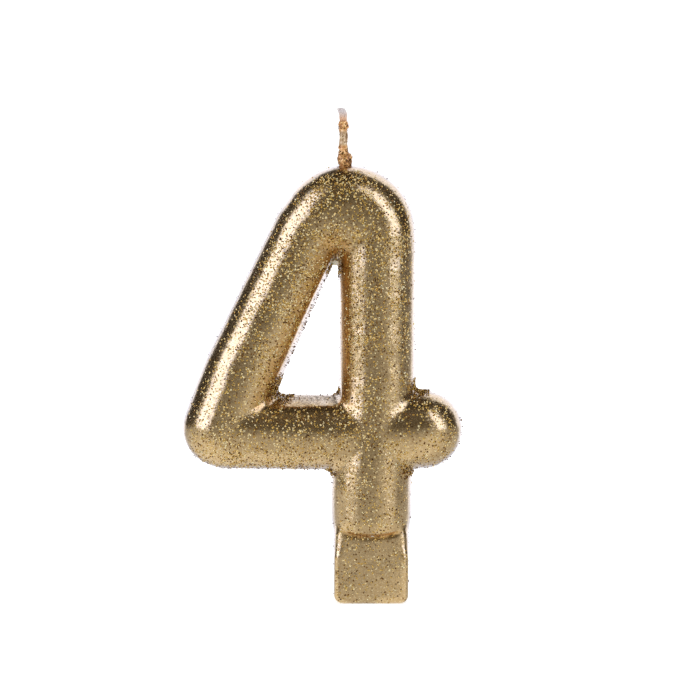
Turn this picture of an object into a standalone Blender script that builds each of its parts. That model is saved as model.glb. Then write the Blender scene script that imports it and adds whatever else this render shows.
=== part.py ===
"""Numeral four birthday candle: wax casting, metallic coat and plaited wick.

Metres, +Z up. The numeral faces -Y and is symmetrical about Y = 0.
The stem's end lies on Z = 0, centred on the origin.
"""

import math

import bmesh
import bpy
from mathutils import Vector

MM = 0.001

# Numeral strokes: centre-line points (X, Z) and stroke radii, in millimetres.
ARC_CENTRE = (-3.8, 59.1)
ARC_RADIUS = 4.8
DIAGONAL_TOP = (-9.95, 59.3)
DIAGONAL_TOP_RADIUS = 5.88
ARC_END_DEG = 153.0
CROWN_FROM_DEG = 17.0
CROWN_TO_DEG = 140.0
ARC_STEPS = 7
DIAGONAL_HIP = (-20.85, 36.3)
DIAGONAL_HIP_RADIUS = 6.3
DIAGONAL_END = (-23.9, 28.0)
DIAGONAL_END_RADIUS = 6.4
BAR_START = (-23.2, 27.55)
BAR_START_RADIUS = 6.2
BAR_ROOT = (0.9, 27.05)
BAR_ROOT_RADIUS = 5.9
BAR_END = (8.4, 27.75)
BAR_END_RADIUS = 6.25
UPRIGHT_KNEE = (0.87, 36.0)
UPRIGHT_RADIUS = 6.13
UPRIGHT_FOOT = (0.0, 18.0)
UPRIGHT_FOOT_RADIUS = 6.5
DEPTH_RATIO = 0.92

# Foot of the upright, where the round stroke ends on the flat stem.
FOOT_BOTTOM = 9.6
FOOT_DOME_RADIUS = 16.0
FOOT_EDGE_RADIUS = 1.8
FOOT_ARC_STEPS = 6

# Flat stem that is pushed into the cake.
STEM_WIDTH = 11.9
STEM_DEPTH = 8.0
STEM_TOP = 12.2
STEM_CORNER_RADIUS = 1.3
STEM_EDGE_RADIUS = 0.9

# Layers.
COAT_THICKNESS = 0.4
LAYER_GAP = 0.3
STEM_OPENING = (8.8, 5.4)
OPENING_CORNER_RADIUS = 1.2
BASE_BLOCK_TOP = 3.0

# Surface blending.
STROKE_GRID = 0.5
STROKE_SMOOTHING = 10
SKIN_GRID = 0.42
SKIN_SMOOTHING = 3
COAT_TRIANGLES = 3000
LINING_TRIANGLES = 2200
BODY_TRIANGLES = 2400
BASE_TOLERANCE = 0.08

# Wick.
WICK_KNOTS = (
    ((0.0, 4.0), (0.0, 16.0)),
    ((0.9, 46.0), (0.9, 15.0)),
    ((-4.38, 70.3), (-0.35, 4.0)),
    ((-4.75, 79.25), (-1.2, 1.6)),
)
WICK_STEPS = 40
STRAND_COUNT = 3
STRAND_RADIUS = 0.165
PLAIT_HALF_WIDTH = 0.36
PLAIT_HALF_DEPTH = 0.27
PLAIT_PITCH = 8.0
SAMPLES_PER_PITCH = 12
CHANNEL_RADIUS = 0.85

# Set wax on the exposed wick: radius at heights along the wick above the numeral.
SLEEVE_START = 70.3
SLEEVE_BORE = 0.62
SLEEVE_RADIUS = 0.78
SLEEVE_END = 78.2
BEAD_RADIUS = 1.35
BEAD_HEIGHT = 2.1
SLEEVE_SIDES = 16

GOLD = (0.60, 0.45, 0.24, 1.0)
IVORY = (0.86, 0.80, 0.66, 1.0)
COTTON = (0.80, 0.74, 0.64, 1.0)
WAXED = (0.52, 0.33, 0.17, 1.0)


def clear_scene():
    """Remove everything that is in the scene."""
    for obj in list(bpy.data.objects):
        bpy.data.objects.remove(obj, do_unlink=True)


def make_material(name, colour, roughness, metallic):
    """Principled material with a flat colour."""
    material = bpy.data.materials.new(name)
    material.use_nodes = True
    shader = material.node_tree.nodes["Principled BSDF"]
    shader.inputs["Base Color"].default_value = colour
    shader.inputs["Roughness"].default_value = roughness
    shader.inputs["Metallic"].default_value = metallic
    material.diffuse_color = colour
    return material


def add_object(name, mesh, material=None):
    """Link a mesh as a named object."""
    obj = bpy.data.objects.new(name, mesh)
    bpy.context.scene.collection.objects.link(obj)
    if material is not None:
        mesh.materials.clear()
        mesh.materials.append(material)
    return obj


def mesh_from(bm, name):
    """Turn a bmesh in millimetres into a mesh in metres."""
    bmesh.ops.scale(bm, vec=(MM, MM, MM), verts=bm.verts)
    bmesh.ops.recalc_face_normals(bm, faces=bm.faces)
    mesh = bpy.data.meshes.new(name)
    bm.to_mesh(mesh)
    bm.free()
    return mesh


def baked(obj):
    """Replace an object's mesh with the result of its modifiers."""
    graph = bpy.context.evaluated_depsgraph_get()
    mesh = bpy.data.meshes.new_from_object(obj.evaluated_get(graph))
    obj.modifiers.clear()
    obj.data = mesh
    return obj


def blend(obj, grid, rounds):
    """Fuse overlapping shells into one skin and soften its creases."""
    remesh = obj.modifiers.new("fuse", "REMESH")
    remesh.mode = "VOXEL"
    remesh.voxel_size = grid * MM
    remesh.adaptivity = 0.0
    smooth = obj.modifiers.new("soften", "SMOOTH")
    smooth.factor = 0.5
    smooth.iterations = rounds
    return baked(obj)


def boolean(obj, cutter, operation):
    """Combine a second object into the first, and bake the result."""
    modifier = obj.modifiers.new(operation.lower(), "BOOLEAN")
    modifier.operation = operation
    modifier.solver = "EXACT"
    modifier.object = cutter
    baked(obj)
    bpy.data.objects.remove(cutter, do_unlink=True)
    return obj


def hull(target, balls):
    """Add the hull of some balls, given as (centre, radius): one rounded stroke."""
    bm = bmesh.new()
    for (x, z), radius in balls:
        made = bmesh.ops.create_uvsphere(bm, u_segments=48, v_segments=24, radius=radius)
        bmesh.ops.translate(bm, verts=made["verts"], vec=(x, 0.0, z))
    wrapped = bmesh.ops.convex_hull(bm, input=bm.verts)
    spare = [item for item in wrapped["geom_interior"] if isinstance(item, bmesh.types.BMVert)]
    bmesh.ops.delete(bm, geom=spare, context="VERTS")
    part = bpy.data.meshes.new("stroke")
    bm.to_mesh(part)
    bm.free()
    target.from_mesh(part)
    bpy.data.meshes.remove(part)


def foot_profile():
    """Half outline of the upright's end: a shallow dome with a rounded rim."""
    radius = UPRIGHT_FOOT_RADIUS
    dome = FOOT_DOME_RADIUS
    edge = FOOT_EDGE_RADIUS
    rim_angle = math.asin((radius - edge) / (dome - edge))
    dome_top = FOOT_BOTTOM + dome
    points = []
    for step in range(FOOT_ARC_STEPS + 1):
        angle = rim_angle * step / FOOT_ARC_STEPS
        points.append((dome * math.sin(angle), dome_top - dome * math.cos(angle)))
    centre_x = radius - edge
    centre_z = dome_top - (dome - edge) * math.cos(rim_angle)
    for step in range(1, FOOT_ARC_STEPS + 1):
        angle = rim_angle + (math.pi / 2 - rim_angle) * step / FOOT_ARC_STEPS
        points.append((centre_x + edge * math.sin(angle), centre_z - edge * math.cos(angle)))
    points.append((radius, UPRIGHT_FOOT[1]))
    points.append((0.0, UPRIGHT_FOOT[1]))
    return points


def foot(target):
    """Add the round foot of the upright, turned from its half outline."""
    bm = bmesh.new()
    verts = [bm.verts.new((x, 0.0, z)) for x, z in foot_profile()]
    edges = [bm.edges.new(pair) for pair in zip(verts, verts[1:])]
    bmesh.ops.spin(
        bm, geom=verts + edges, cent=(0, 0, 0), axis=(0, 0, 1), angle=math.tau, steps=64,
        use_merge=True, use_duplicate=False)
    bmesh.ops.remove_doubles(bm, verts=bm.verts, dist=1e-4)
    bmesh.ops.translate(bm, verts=bm.verts, vec=(UPRIGHT_FOOT[0], 0.0, 0.0))
    bmesh.ops.recalc_face_normals(bm, faces=bm.faces)
    part = bpy.data.meshes.new("foot")
    bm.to_mesh(part)
    bm.free()
    target.from_mesh(part)
    bpy.data.meshes.remove(part)


def arc_point(degrees):
    """Point on the centre line of the rounded top."""
    angle = math.radians(degrees)
    x = ARC_CENTRE[0] + ARC_RADIUS * math.cos(angle)
    z = ARC_CENTRE[1] + ARC_RADIUS * math.sin(angle)
    return (x, z)


def numeral():
    """The round strokes of the figure, blended where they meet."""
    bm = bmesh.new()
    arc = [arc_point(ARC_END_DEG * step / ARC_STEPS) for step in range(ARC_STEPS + 1)]
    crown_sweep = CROWN_TO_DEG - CROWN_FROM_DEG
    crown = [arc_point(CROWN_FROM_DEG + crown_sweep * step / ARC_STEPS)
             for step in range(ARC_STEPS + 1)]
    top_right = (arc[0], UPRIGHT_RADIUS)
    top_left = (DIAGONAL_TOP, DIAGONAL_TOP_RADIUS)
    hip = (DIAGONAL_HIP, DIAGONAL_HIP_RADIUS)
    left_end = (DIAGONAL_END, DIAGONAL_END_RADIUS)
    crossing = (BAR_ROOT, BAR_ROOT_RADIUS)
    right_end = (BAR_END, BAR_END_RADIUS)
    knee = (UPRIGHT_KNEE, UPRIGHT_RADIUS)
    lower_end = (UPRIGHT_FOOT, UPRIGHT_FOOT_RADIUS)
    for start, end in zip(arc, arc[1:]):
        hull(bm, [(start, UPRIGHT_RADIUS), (end, UPRIGHT_RADIUS)])
    hull(bm, [(point, UPRIGHT_RADIUS) for point in crown])
    hull(bm, [(arc[-1], UPRIGHT_RADIUS), top_left])
    hull(bm, [top_left, hip])
    hull(bm, [hip, left_end])
    hull(bm, [(BAR_START, BAR_START_RADIUS), crossing])
    hull(bm, [crossing, right_end])
    hull(bm, [top_right, knee])
    hull(bm, [knee, lower_end])
    foot(bm)
    bmesh.ops.scale(bm, vec=(1.0, DEPTH_RATIO, 1.0), verts=bm.verts)
    obj = add_object("numeral_blank", mesh_from(bm, "numeral_blank"))
    return blend(obj, STROKE_GRID, STROKE_SMOOTHING)


def box(width, depth, bottom, top):
    """Bmesh box centred on the Z axis."""
    bm = bmesh.new()
    bmesh.ops.create_cube(bm, size=1.0)
    bmesh.ops.scale(bm, vec=(width, depth, top - bottom), verts=bm.verts)
    bmesh.ops.translate(bm, verts=bm.verts, vec=(0.0, 0.0, (top + bottom) / 2))
    return bm


def runs_along(edge, axis):
    """True for an edge parallel to one axis."""
    span = edge.verts[1].co - edge.verts[0].co
    return abs(span[axis]) > 0.999 * span.length


def round_edges(bm, edges, radius, segments):
    """Round some edges to a radius."""
    bmesh.ops.bevel(bm, geom=edges, offset=radius, offset_type="OFFSET", segments=segments,
                    profile=0.5, affect="EDGES")


def stem_slab():
    """Flat stem with rounded lower corners and softened edges."""
    bm = box(STEM_WIDTH, STEM_DEPTH, 0.0, STEM_TOP)
    corners = [edge for edge in bm.edges if runs_along(edge, 1) and edge.verts[0].co.z < 0.01]
    round_edges(bm, corners, STEM_CORNER_RADIUS, 6)
    rims = [edge for edge in bm.edges
            if edge.calc_face_angle(0.0) > math.radians(60) or (
                not runs_along(edge, 1) and edge.calc_face_angle(0.0) > math.radians(40))]
    round_edges(bm, rims, STEM_EDGE_RADIUS, 4)
    return add_object("stem_blank", mesh_from(bm, "stem_blank"))


def base_block(name, width, depth, bottom, top, corner):
    """Upright block with rounded corners in plan, for the opening under the stem."""
    bm = box(width, depth, bottom, top)
    uprights = [edge for edge in bm.edges if runs_along(edge, 2)]
    round_edges(bm, uprights, corner, 5)
    return add_object(name, mesh_from(bm, name))


def candle_skin():
    """Outer surface of the candle: numeral and stem as one closed skin."""
    skin = numeral()
    boolean(skin, stem_slab(), "UNION")
    blend(skin, SKIN_GRID, SKIN_SMOOTHING)
    lowest = min(vertex.co.z for vertex in skin.data.vertices)
    for vertex in skin.data.vertices:
        if vertex.co.z < lowest + BASE_TOLERANCE * MM:
            vertex.co.z = 0.0
    skin.data.update()
    return skin


def layer(skin, name, depth, triangles):
    """Closed surface a set depth below the skin, in a given number of triangles."""
    obj = add_object(name, skin.data.copy())
    if depth > 0.0:
        sink = obj.modifiers.new("sink", "DISPLACE")
        sink.direction = "NORMAL"
        sink.mid_level = 0.0
        sink.strength = -depth * MM
        baked(obj)
    count = sum(len(polygon.vertices) - 2 for polygon in obj.data.polygons)
    thin = obj.modifiers.new("thin", "DECIMATE")
    thin.decimate_type = "COLLAPSE"
    thin.ratio = triangles / count
    thin.use_collapse_triangulate = True
    return baked(obj)


def bezier_row(knots, steps):
    """Sample a chain of cubic curves through (point, tangent) knots, in the XZ plane."""
    row = []
    for (start, start_tangent), (end, end_tangent) in zip(knots, knots[1:]):
        for step in range(steps):
            t = step / steps
            a = 2 * t ** 3 - 3 * t ** 2 + 1
            b = t ** 3 - 2 * t ** 2 + t
            c = 3 * t ** 2 - 2 * t ** 3
            d = t ** 3 - t ** 2
            x = a * start[0] + b * start_tangent[0] + c * end[0] + d * end_tangent[0]
            z = a * start[1] + b * start_tangent[1] + c * end[1] + d * end_tangent[1]
            row.append(Vector((x, 0.0, z)))
    row.append(Vector((knots[-1][0][0], 0.0, knots[-1][0][1])))
    return row


class Line:
    """Point and direction along the wick's centre line, by length."""

    def __init__(self, points):
        self.points = points
        self.lengths = [0.0]
        for first, second in zip(points, points[1:]):
            self.lengths.append(self.lengths[-1] + (second - first).length)
        self.total = self.lengths[-1]

    def at(self, length):
        length = min(max(length, 0.0), self.total)
        index = 0
        while index < len(self.points) - 2 and self.lengths[index + 1] < length:
            index += 1
        first = self.points[index]
        second = self.points[index + 1]
        span = self.lengths[index + 1] - self.lengths[index]
        point = first.lerp(second, (length - self.lengths[index]) / span)
        return point, (second - first).normalized()

    def length_at_height(self, height):
        for index in range(len(self.points) - 1):
            first = self.points[index].z
            second = self.points[index + 1].z
            if first <= height <= second:
                part = (height - first) / (second - first)
                return self.lengths[index] + part * (self.lengths[index + 1] - self.lengths[index])
        return self.total


def wick_line():
    """Centre line of the wick, from inside the stem to the tip."""
    return Line(bezier_row(WICK_KNOTS, WICK_STEPS))


def tube_object(name, points, radius, resolution):
    """Round rod along a row of points, with flat ends."""
    curve = bpy.data.curves.new(name, "CURVE")
    curve.dimensions = "3D"
    curve.bevel_depth = radius * MM
    curve.bevel_resolution = resolution
    curve.use_fill_caps = True
    spline = curve.splines.new("POLY")
    spline.points.add(len(points) - 1)
    for item, point in zip(spline.points, points):
        item.co = (point.x * MM, point.y * MM, point.z * MM, 1.0)
    obj = bpy.data.objects.new(name + "_path", curve)
    bpy.context.scene.collection.objects.link(obj)
    graph = bpy.context.evaluated_depsgraph_get()
    mesh = bpy.data.meshes.new_from_object(obj.evaluated_get(graph))
    bpy.data.objects.remove(obj, do_unlink=True)
    bm = bmesh.new()
    bm.from_mesh(mesh)
    bmesh.ops.remove_doubles(bm, verts=bm.verts, dist=1e-7)
    bmesh.ops.recalc_face_normals(bm, faces=bm.faces)
    bm.to_mesh(mesh)
    bm.free()
    return add_object(name, mesh)


def wick_channel(line, name, start, end):
    """Cutter for the channel that the wick runs in."""
    steps = max(2, int((end - start) / 2.5))
    points = [line.at(start + (end - start) * step / steps)[0] for step in range(steps + 1)]
    return tube_object(name, points, CHANNEL_RADIUS, 4)


def strand(line, index, material):
    """One cotton strand, following its own wave in the plait."""
    turns = line.total / PLAIT_PITCH
    count = int(turns * SAMPLES_PER_PITCH)
    points = []
    for step in range(count + 1):
        length = line.total * step / count
        centre, along = line.at(length)
        across = Vector((along.z, 0.0, -along.x))
        phase = math.tau * (length / PLAIT_PITCH + index / STRAND_COUNT)
        sideways = across * (PLAIT_HALF_WIDTH * math.sin(phase))
        outwards = Vector((0.0, PLAIT_HALF_DEPTH * math.sin(2 * phase), 0.0))
        points.append(centre + sideways + outwards)
    obj = tube_object("wick_strand_%d" % (index + 1), points, STRAND_RADIUS, 1)
    finish(obj, material)
    return obj


def sleeve_radius(height):
    """Outer radius of the set wax at a height above its lower end."""
    if height < BEAD_HEIGHT:
        wave = math.cos(math.pi / 2 * height / BEAD_HEIGHT)
        return SLEEVE_RADIUS + (BEAD_RADIUS - SLEEVE_RADIUS) * wave
    lump = 0.07 * math.sin(height * 2.1) * math.sin(height * 0.9)
    return SLEEVE_RADIUS + lump


def sleeve(line, material):
    """Wax set around the exposed wick, with a bead at its lower end."""
    start = line.length_at_height(SLEEVE_START)
    end = line.length_at_height(SLEEVE_END)
    rings = 16
    bm = bmesh.new()
    outer = []
    inner = []
    for step in range(rings + 1):
        length = start + (end - start) * step / rings
        centre, along = line.at(length)
        across = Vector((along.z, 0.0, -along.x))
        radius = sleeve_radius(length - start)
        rows = ((outer, radius), (inner, SLEEVE_BORE))
        for ring_list, ring_radius in rows:
            ring = []
            for side in range(SLEEVE_SIDES):
                angle = math.tau * side / SLEEVE_SIDES
                offset = across * math.cos(angle) + Vector((0.0, math.sin(angle), 0.0))
                ring.append(bm.verts.new(centre + offset * ring_radius))
            ring_list.append(ring)
    for rings_of in (outer, inner):
        for low, high in zip(rings_of, rings_of[1:]):
            bridge(bm, low, high)
    bridge(bm, outer[0], inner[0])
    bridge(bm, outer[-1], inner[-1])
    obj = add_object("wick_wax_sleeve", mesh_from(bm, "wick_wax_sleeve"))
    finish(obj, material)
    return obj


def bridge(bm, first, second):
    """Faces between two rings of points."""
    count = len(first)
    for side in range(count):
        follow = (side + 1) % count
        bm.faces.new((first[side], first[follow], second[follow], second[side]))


def finish(obj, material):
    """Set the material and smooth shading of a finished piece."""
    obj.data.materials.clear()
    obj.data.materials.append(material)
    for polygon in obj.data.polygons:
        polygon.material_index = 0
    obj.data.shade_smooth()
    obj.data.set_sharp_from_angle(angle=math.radians(40))


def wax_body(skin, line, material):
    """The casting: below the coat by its thickness and a fine gap."""
    body = layer(skin, "wax_body", COAT_THICKNESS + LAYER_GAP, BODY_TRIANGLES)
    base = base_block("base_blank", STEM_OPENING[0] - 2 * LAYER_GAP,
                      STEM_OPENING[1] - 2 * LAYER_GAP, 0.0, BASE_BLOCK_TOP, OPENING_CORNER_RADIUS)
    boolean(body, base, "UNION")
    channel = wick_channel(line, "channel_cutter", -1.0, line.length_at_height(74.0))
    boolean(body, channel, "DIFFERENCE")
    finish(body, material)
    return body


def gold_coat(skin, line, material):
    """The metallic coat: a thin wall, open under the stem and at the wick."""
    coat = layer(skin, "gold_coat", 0.0, COAT_TRIANGLES)
    hollow = layer(skin, "hollow_cutter", COAT_THICKNESS, LINING_TRIANGLES)
    opening = base_block("opening_cutter", STEM_OPENING[0], STEM_OPENING[1], -1.0,
                         BASE_BLOCK_TOP, OPENING_CORNER_RADIUS + LAYER_GAP)
    boolean(hollow, opening, "UNION")
    hole = wick_channel(line, "wick_hole_cutter", line.length_at_height(67.0),
                        line.length_at_height(73.0))
    boolean(hollow, hole, "UNION")
    boolean(coat, hollow, "DIFFERENCE")
    finish(coat, material)
    return coat


def main():
    clear_scene()
    gold = make_material("metallic_gold_coat", GOLD, 0.32, 1.0)
    ivory = make_material("ivory_wax", IVORY, 0.45, 0.0)
    cotton = make_material("cotton_wick", COTTON, 0.85, 0.0)
    waxed = make_material("tinted_wick_wax", WAXED, 0.4, 0.0)
    line = wick_line()
    skin = candle_skin()
    wax_body(skin, line, ivory)
    gold_coat(skin, line, gold)
    bpy.data.objects.remove(skin, do_unlink=True)
    for index in range(STRAND_COUNT):
        strand(line, index, cotton)
    sleeve(line, waxed)


main()
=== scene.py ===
"""Looks of the gold numeral four birthday candle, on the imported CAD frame."""

import math

import bmesh
import bpy
import numpy as np
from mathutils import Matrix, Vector, noise


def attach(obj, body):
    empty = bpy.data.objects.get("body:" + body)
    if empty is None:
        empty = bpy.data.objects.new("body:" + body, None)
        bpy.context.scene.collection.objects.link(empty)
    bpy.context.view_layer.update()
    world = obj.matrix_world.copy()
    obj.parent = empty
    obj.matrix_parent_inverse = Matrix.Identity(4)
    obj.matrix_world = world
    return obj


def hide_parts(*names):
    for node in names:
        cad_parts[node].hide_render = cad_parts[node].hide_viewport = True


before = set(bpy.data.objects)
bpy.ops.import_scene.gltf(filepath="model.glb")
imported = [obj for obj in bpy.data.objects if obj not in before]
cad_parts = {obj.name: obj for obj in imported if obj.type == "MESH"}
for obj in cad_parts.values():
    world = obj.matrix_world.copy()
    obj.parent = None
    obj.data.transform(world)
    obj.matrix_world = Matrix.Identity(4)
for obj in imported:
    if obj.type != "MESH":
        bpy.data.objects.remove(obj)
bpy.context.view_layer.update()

MM = 0.001
PER_METRE = 1000.0

# Lengths are in millimetres and angles in degrees, unless a comment says otherwise.

# Rounded top of the numeral: centre (X, Z) and radius of its centre line, and its angles.
ARC_CENTRE = (-3.8, 59.1)
ARC_RADIUS = 4.8
ARC_END_DEG = 153.0
CROWN_FROM_DEG = 17.0
CROWN_TO_DEG = 140.0
ARC_STEPS = 10

# Balls at the ends of the straight strokes: centre (X, Z) and radius.
UPRIGHT_RADIUS = 6.13
DIAGONAL_TOP = ((-9.95, 59.3), 5.88)
DIAGONAL_HIP = ((-20.85, 36.3), 6.3)
DIAGONAL_END = ((-23.9, 28.0), 6.4)
BAR_START = ((-23.2, 27.55), 6.2)
BAR_ROOT = ((0.9, 27.05), 5.9)
BAR_END = ((8.4, 27.75), 6.25)
UPRIGHT_KNEE = ((0.87, 36.0), UPRIGHT_RADIUS)
UPRIGHT_FOOT = ((0.0, 18.0), 6.5)
DEPTH_RATIO = 0.92

# Domed foot of the upright, and the flat stem under it.
FOOT_BOTTOM = 10.15
FOOT_DOME_RADIUS = 16.0
FOOT_EDGE_RADIUS = 1.8
FOOT_STEPS = 8
STEM_WIDTH = 11.9
STEM_DEPTH = 8.0
STEM_TOP = 12.2
STEM_CORNER_RADIUS = 1.3
STEM_EDGE_RADIUS = 0.9
STEM_OPENING = (8.8, 5.4)
OPENING_CORNER_RADIUS = 1.5
OPENING_DEPTH = 0.4

# Where the stem's corners run into the foot: height, reach up and down, start and fade across.
SHOULDER_HEIGHT = 11.8
SHOULDER_REACH = 4.4
SHOULDER_START = 4.2
SHOULDER_FADE = 0.8
SHOULDER_SMOOTHING = 120

# Open triangle: corner (X, Z) and radius at mid-depth, and how far it moves out by the front.
HOLE_CORNERS = (
    ((-5.75, 54.0), 0.45, (0.1, 3.7)),
    ((-14.0, 34.25), 0.90, (-3.2, -2.85)),
    ((-6.1, 34.25), 0.90, (1.0, -2.85)),
)
HOLE_DRAFT_DEPTH = 6.4
HOLE_OVERLAP = 0.05
HOLE_CORNER_STEPS = 24
HOLE_GRID = 0.15

# Crease between the numeral's foot and the stem.
CREASE_MIDDLE = 10.70
CREASE_RISE = 0.85
CREASE_HALF_WIDTH = 4.9
CREASE_DEPTH = 0.22
CREASE_SPREAD = 0.26

# Painted shade and gold-on-gold reflection, darker and more orange, in the hollows: reach round
# the hole, fade, least depth and how much less on a shelf; spread in the crease; strength and
# reach at the wick's foot (X, Z).
PAINTED_SHADE_REACH = 3.0
PAINTED_SHADE_FADE = 1.0
PAINTED_SHADE_DEPTH = 1.6
PAINTED_SHADE_SHELF = 0.85
CREASE_SHADE_SPREAD = 0.42
CREASE_SHADE_GAIN = 1.5
WICK_SHADE = (1.6, 1.15)
WICK_FOOT = (-4.35, 69.2)
# Colour that the painted shade multiplies into the gold.
PAINTED_SHADE_COLOUR = (0.86, 0.67, 0.32, 1.0)

# Depths (metres) over which the lacquer thins toward the parting plane, and how much.
THIN_DEPTHS = (0.0014, 0.0048)
THIN_RAGGED = 0.0018
THIN_SHARE = 0.62
THIN_COLOUR = (0.62, 0.53, 0.43, 1.0)

# Mould lines beside the parting seam, in metres: depths from it, half width and softness.
MOULD_LINES = (0.00012, 0.0010, 0.0017)
MOULD_LINE_HALF_WIDTH = 0.00009
MOULD_LINE_SOFTNESS = 0.00007
# Heights (metres) over which the mould lines grow toward the crown, and how much.
CROWN_HEIGHTS = (0.060, 0.067)
CROWN_GAIN = (1.0, 1.7)
# Pebbled places, in metres, as (low, high, softness) or (from, to): under the crossbar, and
# on the walls of the open triangle.
PEBBLE_SHARE = 1.5
UNDER_BAR_Z = (0.0195, 0.0262, 0.0022)
UNDER_BAR_X = (0.0, -0.006)
HOLE_WALLS_X = (-0.0175, -0.0050, 0.0005)
HOLE_WALLS_Z = (0.0325, 0.0560, 0.0010)
HOLE_WALLS_DEPTH = (0.0048, 0.0036)

# Skin of the visual model: heights and spans of its unevenness.
FINE_GRID = 0.28
STROKE_SMOOTHING = 32
SKIN_SMOOTHING = 4
WAVE_HEIGHT = 0.045
WAVE_SPAN = 3.6
PEEL_HEIGHT = 0.010
PEEL_SPAN = 0.75
PEEL_OFFSET = (7.0, 3.0, 1.0)
SEAM_HEIGHT = 0.05
SEAM_WIDTH = 0.16
SEAM_SPAN = 1.7
# Height by which the unevenness has come in, and under which the stem's end is made flat.
RELIEF_FULL = 1.2
END_FLAT = 0.06
SHARP_ANGLE_DEG = 50.0

# Wick: (point, tangent) knots of its centre line in (X, Z), and its plait.
WICK_KNOTS = (
    ((0.0, 4.0), (0.0, 16.0)),
    ((0.9, 46.0), (0.9, 15.0)),
    ((-4.38, 70.3), (-0.35, 4.0)),
    ((-4.75, 79.25), (-1.2, 1.6)),
)
STRANDS = 3
PLAIT_HALF_WIDTH = 0.36
PLAIT_HALF_DEPTH = 0.27
PLAIT_PITCH = 8.0
YARNS = 7
YARN_RING = 0.125
YARN_RADIUS = 0.066
YARN_TWIST = 2.2
YARN_TOP = 78.5

# Bare cotton at the tip.
TIP_FIBRES = 170
TIP_BOTTOM = 76.5
TIP_RING = 0.56
TIP_FIBRE_RADIUS = 0.085
TIP_WAVER = 0.035
# Heights (metres) between which the stain fades out of the bare cotton.
TIP_STAIN = (0.0768, 0.0785)

# Wax set on the wick: radii of its tubes, its ends, and lumps as (centre, size).
FILM_RADIUS = 0.38
FILM_CORE_RADIUS = 0.66
FILM_BOTTOM = 69.2
FILM_TOP = 76.95
FILM_GRID = 0.08
FILM_LUMPS = (
    ((-4.15, 0.0, 70.6), (1.12, 0.95, 1.25)),
    ((-3.75, -0.1, 71.1), (0.72, 0.75, 0.85)),
    ((-4.75, -0.1, 70.9), (0.66, 0.70, 1.10)),
    ((-4.45, -0.2, 72.0), (0.78, 0.70, 0.75)),
    ((-4.55, 0.0, 72.7), (0.74, 0.66, 0.40)),
    ((-4.40, 0.0, 76.2), (0.84, 0.76, 0.80)),
    ((-4.62, -0.1, 76.4), (0.72, 0.62, 0.42)),
)
# Roughness of the film by height, and the glitter in it by height.
FILM_ROUGHNESS = ((69.0, 1.0), (72.5, 1.0), (73.4, 0.35), (75.2, 0.35), (75.8, 0.9), (76.9, 0.6))
FILM_GLITTER = ((69.0, 0.2), (69.8, 1.0), (72.4, 1.0), (73.2, 0.15), (75.4, 0.15), (75.9, 0.9),
                (76.7, 0.8), (77.1, 0.0))
# Heights (metres) between which the film is thin: low, high, softness.
FILM_THIN = (0.0731, 0.0754, 0.0003)

# Glitter: name, count, lean, size, tone.
GLITTER = (
    ("glitter_cream_flakes", 7000, 22.0, 0.275, "cream"),
    ("glitter_gold_flakes", 9400, 14.0, 0.25, "gold"),
    ("glitter_brown_flakes", 6800, 15.0, 0.24, "brown"),
)
CLUMP_GLITTER = (("glitter_clump_gold", 1500, "gold"), ("glitter_clump_brown", 1700, "brown"))
SEAM_COUNT = 620
WICK_COUNT = 330
# Tones of glitter: darkest and lightest colour, roughness, metallic share.
TONES = {
    "cream": ((1.0, 0.68, 0.21, 1.0), (1.0, 0.90, 0.58, 1.0), 0.12, 0.22),
    "gold": ((0.74, 0.42, 0.08, 1.0), (0.95, 0.68, 0.20, 1.0), 0.15, 0.55),
    "brown": ((0.12, 0.055, 0.015, 1.0), (0.46, 0.22, 0.05, 1.0), 0.22, 0.70),
}
# Heaps of glitter: X, Z, reach, share.
CLUMPS = (
    (-14.3, 33.7, 2.3, 1.0),
    (-15.0, 35.2, 1.6, 0.3),
    (-5.8, 34.0, 0.9, 0.22),
    (7.2, 34.4, 1.8, 0.6),
    (8.4, 33.9, 1.1, 0.18),
    (-6.3, 21.0, 1.1, 0.15),
    (5.6, 21.0, 1.2, 0.22),
    (-5.9, 53.0, 1.5, 0.25),
)
# How thickly the glitter lies by height, and the size of its patches in metres.
GLITTER_BY_HEIGHT = ((0.0, 0.42), (11.0, 0.45), (22.0, 0.75), (34.0, 0.95), (48.0, 1.15),
                     (70.0, 1.35))
GLITTER_PATCH = 0.005

# Studio: azimuth from the front (low, high, softness), elevation (the same), lean of the
# azimuth with elevation, mirrored on both sides or not, colour, radiance.
STUDIO = (
    ((116.0, 300.0, 4.0), (-6.0, 68.0, 4.0), 0.0, False, (0.95, 1.0, 1.20), 1.36),
    ((-300.0, -130.0, 4.0), (-6.0, 50.0, 5.0), 0.0, False, (0.95, 1.0, 1.20), 1.36),
    ((-75.0, -35.0, 4.0), (-17.0, 46.0, 6.0), 0.0, False, (0.90, 1.0, 1.42), 2.2),
    ((40.0, 69.0, 4.0), (-20.0, 50.0, 6.0), 0.45, False, (0.90, 1.0, 1.35), 2.1),
    ((-1.0, 70.0, 6.0), (-95.0, 5.0, 9.0), 0.0, True, (1.0, 0.97, 0.88), 0.34),
    ((-1.0, 70.0, 6.0), (7.0, 60.0, 12.0), 0.0, True, (1.0, 0.93, 0.80), 0.09),
    ((-1.0, 300.0, 8.0), (-95.0, 95.0, 6.0), 0.0, True, (1.0, 0.86, 0.72), 0.06),
)
# Radiance of the table top seen by the gold, by distance from the candle in metres, its tint,
# and where (degrees off the front) the part in front gives way to the part behind.
TABLE_FRONT = ((0.0, 0.69), (0.045, 0.65), (0.08, 0.57), (0.17, 0.42), (0.45, 0.32))
TABLE_FRONT_TINT = (1.0, 0.98, 0.93)
TABLE_BEHIND = ((0.0, 0.74), (0.05, 0.78), (0.09, 1.05), (0.16, 1.50), (0.45, 1.55))
TABLE_BEHIND_TINT = (0.95, 0.97, 1.10)
TABLE_SPAN = 0.5
TABLE_TURN = (118.0, 138.0)
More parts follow.
